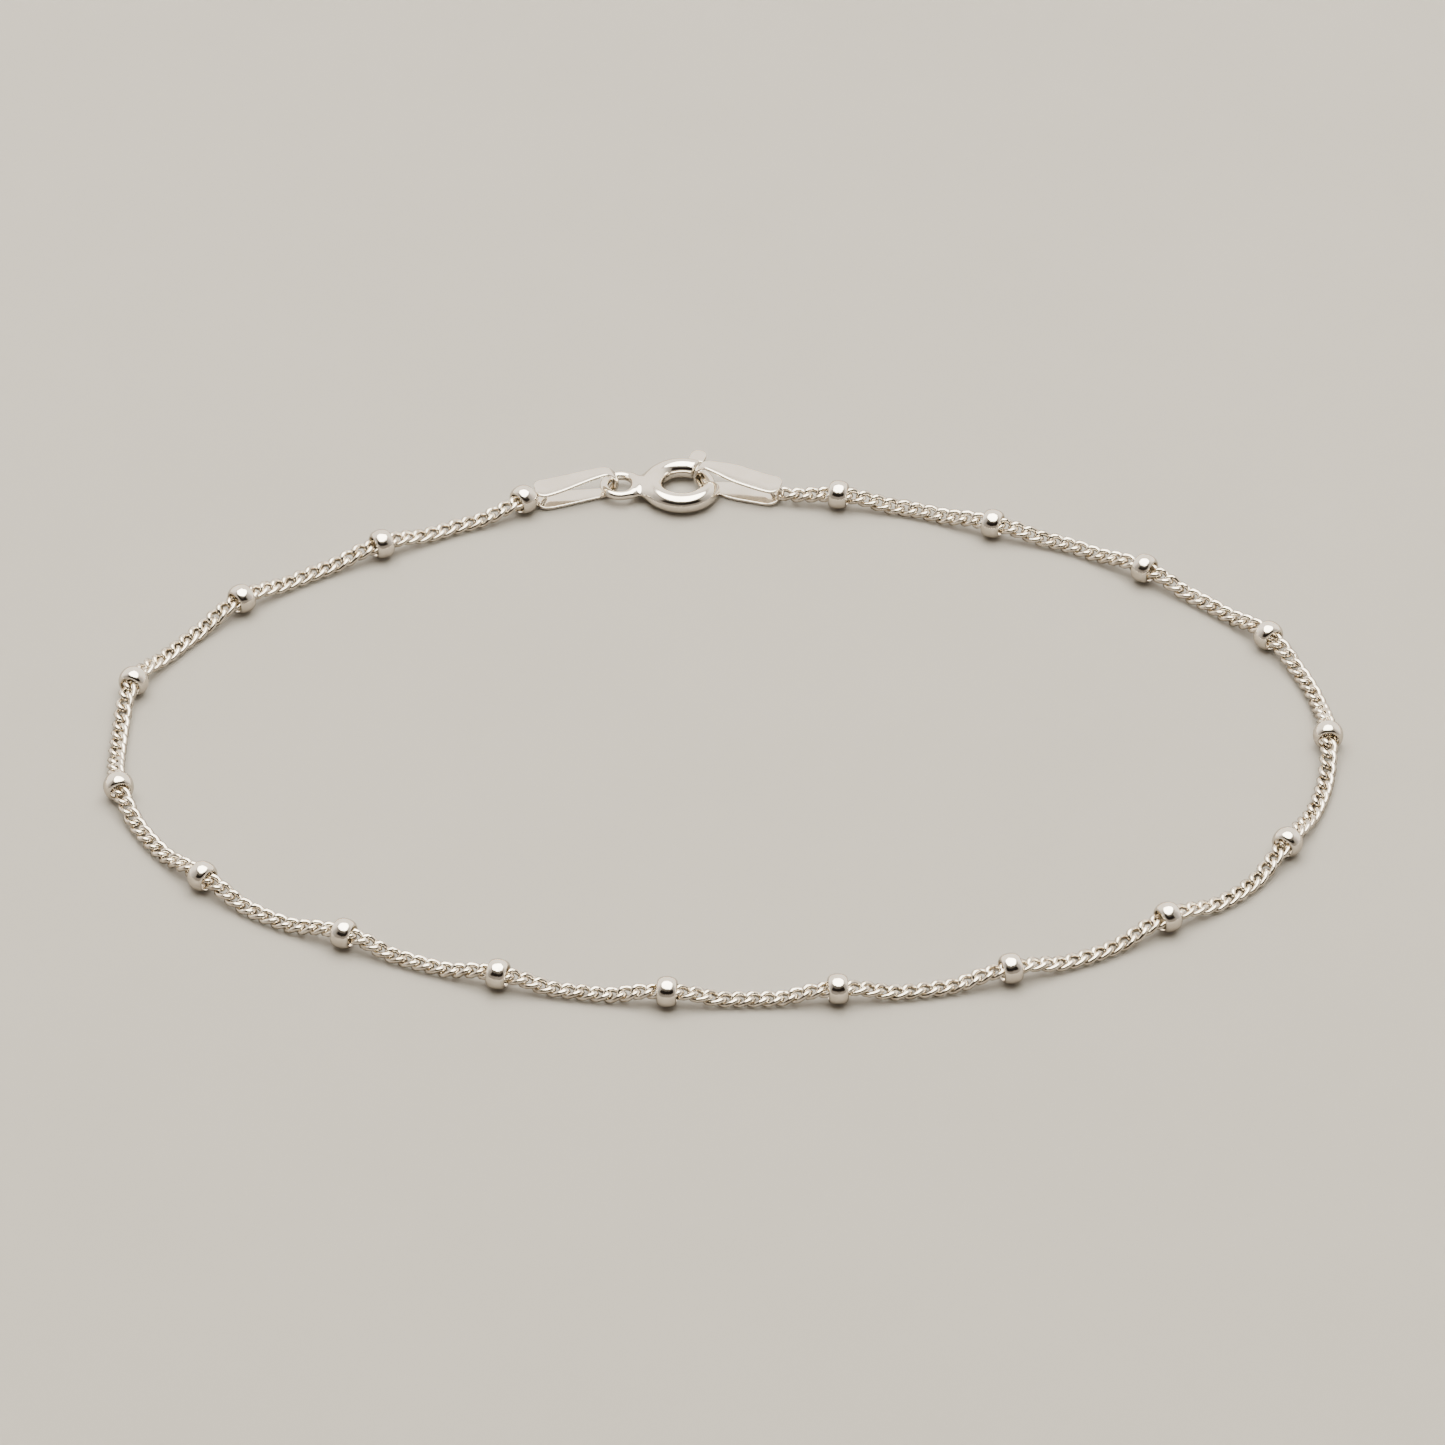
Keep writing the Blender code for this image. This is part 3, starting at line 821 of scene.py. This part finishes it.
def planSlopes():
    # direction at each point: mean of the spans before and after, the nearer one counting more
    step = np.diff(plan, axis=0)
    size = np.linalg.norm(step, axis=1)[:, None]
    before, after = step[:-1], step[1:]
    a, b = size[:-1], size[1:]
    inner = (before * (b / a) + after * (a / b)) / (a + b)
    return np.vstack([step[0] / size[0], inner, step[-1] / size[-1]])


slopes = planSlopes()


def planAt(position):
    # cubic Hermite curve through the plan's points; a whole position is a point
    k = np.clip(position.astype(int), 0, len(plan) - 2)
    t = (position - k)[:, None]
    span = np.linalg.norm(plan[k + 1] - plan[k], axis=1)[:, None]
    return (
        plan[k] * (2 * t**3 - 3 * t**2 + 1)
        + slopes[k] * span * (t**3 - 2 * t**2 + t)
        + plan[k + 1] * (3 * t**2 - 2 * t**3)
        + slopes[k + 1] * span * (t**3 - t**2)
    )


def rollAt(position):
    # straight line between the rolls at the beads, and flat at the tags
    rolls = np.concatenate([[0, 0], route[:, 3], [0, 0]])
    at = np.concatenate([[0], [1], beadAt[:-1], [beadAt[-1]], [len(plan) - 1]])
    return np.interp(position, at, rolls)


def oneLink():
    # twisted oval of wire: centre line (a c, b s cos f, b s sin f) with f in proportion to its x,
    # c and s the cosine and sine to the power 2 / fullness, and a round section about it
    power = 2 / chain["fullness"]

    def centreLine(turn):
        c, s = np.cos(turn), np.sin(turn)
        x = chain["halfLength"] * np.sign(c) * np.abs(c) ** power
        y = chain["halfWidth"] * np.sign(s) * np.abs(s) ** power
        lean = np.radians(chain["twist"]) / 2 * x / chain["halfLength"]
        return np.stack([x, y * np.cos(lean), y * np.sin(lean)], 1)

    # steps where the line's length and its bending, half each, have grown by equal shares
    fine = np.linspace(0, 2 * np.pi, 721)
    step = np.diff(centreLine(fine), axis=0)
    size = np.linalg.norm(step, axis=1)
    heading = step / size[:, None]
    bend = np.linalg.norm(heading - np.roll(heading, 1, axis=0), axis=1)
    grown = np.concatenate([[0], np.cumsum(size / size.sum() + bend / bend.sum())]) / 2
    turn = np.interp(np.arange(chain["steps"]) / chain["steps"], grown, fine)

    middle = centreLine(turn)
    near = 0.02
    tangent = unitRows(centreLine(turn + near) - centreLine(turn - near))
    out = unitRows(middle - (middle * tangent).sum(1)[:, None] * tangent)
    side = np.cross(tangent, out)
    around = 2 * np.pi * np.arange(chain["sides"]) / chain["sides"]
    c, s = np.cos(around)[None, :, None], np.sin(around)[None, :, None]
    radius = chain["wire"] / 2 * chain["swell"]
    return (middle[:, None] + radius * (c * out[:, None] + s * side[:, None])).reshape(-1, 3)


linkShape = oneLink()


def linkDepth(roll):
    # how far the rolled link reaches below its middle, plus room for the jitter of its roll
    rolls = np.linspace(-90, 90, 91)
    s, c = np.sin(np.radians(rolls)), np.cos(np.radians(rolls))
    lowest = -(linkShape[:, 1:2] * s + linkShape[:, 2:3] * c).min(0)
    return np.interp(roll, rolls, lowest) + chain["lift"]


def heightAt(position):
    # bead height in each bead, lying on the table between beads, mouth height at the tags
    spans = (position - beadAt[0]) / 2
    past = np.maximum(-spans, spans - len(route)) * 2
    share = spans - np.floor(spans)
    rest = linkDepth(rollAt(position))
    top = bead["outer"] / 2
    mouth = tagShape["seatHeight"] + tagShape["mouthHeight"] / 2
    sagged = top + (rest - top) * ramp(np.minimum(share, 1 - share), bead["sagFrom"], bead["sagTo"])
    return np.where(past > 0, top + (mouth - top) * ramp(past, 0, 1), sagged)


def layLinks():
    # stations at an even pitch along the route, each link turned to the line through its neighbours
    fine = np.linspace(0, len(plan) - 1, chain["fineSteps"])
    line = np.column_stack([planAt(fine), heightAt(fine)])
    run = np.concatenate([[0], np.cumsum(np.linalg.norm(np.diff(line, axis=0), axis=1))])
    first, last = chain["joinPitch"], run[-1] - chain["joinPitch"]
    count = round((last - first) / chain["pitch"]) + 1
    stations = np.linspace(first, last, count)
    position = np.interp(stations, run, fine)
    centre = np.stack([np.interp(stations, run, line[:, k]) for k in range(3)], 1)
    along = unitRows(np.gradient(centre, axis=0))
    outward = unitRows(np.cross(upright, along))
    up = np.cross(along, outward)
    roll = rollAt(position) + rng.normal(0, chain["rollJitter"], count)
    c, s = np.cos(np.radians(roll))[:, None], np.sin(np.radians(roll))[:, None]
    across, over = c * outward + s * up, c * up - s * outward
    axes = np.stack([along, across, over], 1)
    points = centre[:, None] + np.einsum("kj,njd->nkd", linkShape, axes)
    print("chain of", count, "links,", round(run[-1], 1), "mm from tag link to tag link")
    return position, points


def makeChains():
    # the links' grids side by side in one mesh for each run
    position, points = layLinks()
    meet = beadAt[chain["splitAfter"]] + 1
    quads = gridQuads(chain["steps"], chain["sides"], ring=True)
    for name, nodeName, chosen in (
        ("chainRight", "chain_right", position < meet),
        ("chainLeft", "chain_left", position >= meet),
    ):
        links = points[chosen]
        shift = np.arange(len(links))[:, None, None] * links.shape[1]
        piece = putMesh(name, links.reshape(-1, 3), (quads[None] + shift).reshape(-1, 4))
        dress(piece, linkSilver, "chain_silver", "anklet", nodeName)


makeChains()


def beadOutline():
    # half section as (radius, along): bore wall, small lips, nearly half-ellipse crown
    b = bead
    bore, half = b["bore"] / 2, b["length"] / 2
    rise = b["outer"] / 2 - bore
    turn = np.linspace(0, np.pi, b["crownSteps"])
    crown = np.stack([bore + rise * np.sin(turn) ** b["crownPower"], half * np.cos(turn)], 1)
    wall = np.linspace(-half + b["lip"], half - b["lip"], b["wallSteps"])
    return np.vstack([crown[1:-1], np.stack([np.full_like(wall, bore), wall], 1)])


def makeBead(number):
    # the outline turned about the chain's line through the bead
    at = beadAt[number]
    heading = slopes[at] / np.linalg.norm(slopes[at])
    along = np.array([*heading, 0.0])
    side = np.array([-heading[1], heading[0], 0.0])
    centre = np.array([*plan[at], bead["outer"] / 2])
    outline = beadOutline()
    turn = np.linspace(0, 2 * np.pi, bead["sides"], endpoint=False)[:, None, None]
    outward = np.cos(turn) * side + np.sin(turn) * upright
    points = centre + outline[None, :, 0:1] * outward + outline[None, :, 1:2] * along
    quads = gridQuads(bead["sides"], len(outline), ring=True)
    piece = putMesh(f"bead{number + 1:02d}", points.reshape(-1, 3), quads)
    piece.data.set_sharp_from_angle(angle=math.radians(bead["crease"]))
    dress(piece, beadSilver, "polished_silver", "anklet", f"bead_{number + 1:02d}")


for number in range(beadCount):
    makeBead(number)
print(beadCount, "beads turned")


# Table

table = {
    "size": 4000.0,
    "drop": 0.02,
    "light": (0.320, 0.303, 0.278),
    "dark": (0.302, 0.286, 0.262),
    "paintedShadeInReflections": (0.170, 0.155, 0.140),  # painted shade: a darker floor colour that only the silver's reflections show, standing in for soft shade round the anklet
    "softness": 2.6,  # how far light spreads in the cloth
    "roughness": 0.9,
    "specular": 0.1,
    "cloudScale": 60.0,
}


def layTable(s):
    # one flat square a hair below the anklet, with faint clouds of two tints, and a painted shade in what
    # the silver reflects of it
    half = s["size"] / 2
    corners = np.array([(-half, -half), (half, -half), (half, half), (-half, half)])
    points = np.column_stack([corners, np.full(4, -s["drop"])]) * mm
    mesh = bpy.data.meshes.new("table")
    mesh.from_pydata(points.tolist(), [], [(0, 1, 2, 3)])
    top = bpy.data.objects.new("table", mesh)
    bpy.context.scene.collection.objects.link(top)
    material = bpy.data.materials.new("paleTable")
    material.use_nodes = True
    tree = material.node_tree
    shader = tree.nodes["Principled BSDF"]
    shader.inputs["Roughness"].default_value = s["roughness"]
    shader.inputs["Specular IOR Level"].default_value = s["specular"]
    shader.inputs["Subsurface Weight"].default_value = 1.0
    shader.inputs["Subsurface Radius"].default_value = (1.0, 1.0, 1.0)
    shader.inputs["Subsurface Scale"].default_value = s["softness"] * mm
    place = node(tree, "ShaderNodeTexCoord")
    cloud = node(tree, "ShaderNodeTexNoise", Scale=s["cloudScale"], Detail=5.0)
    tree.links.new(place.outputs["Object"], cloud.inputs["Vector"])
    tint = blend(tree, cloud.outputs["Fac"], s["light"], s["dark"])
    # painted shade: glossy rays see a darker colour in place of the cloud tints
    paintedShadeInReflections = node(tree, "ShaderNodeLightPath").outputs["Is Glossy Ray"]
    colour = blend(tree, paintedShadeInReflections, tint, s["paintedShadeInReflections"])
    tree.links.new(colour, shader.inputs["Base Color"])
    mesh.materials.append(material)


layTable(table)
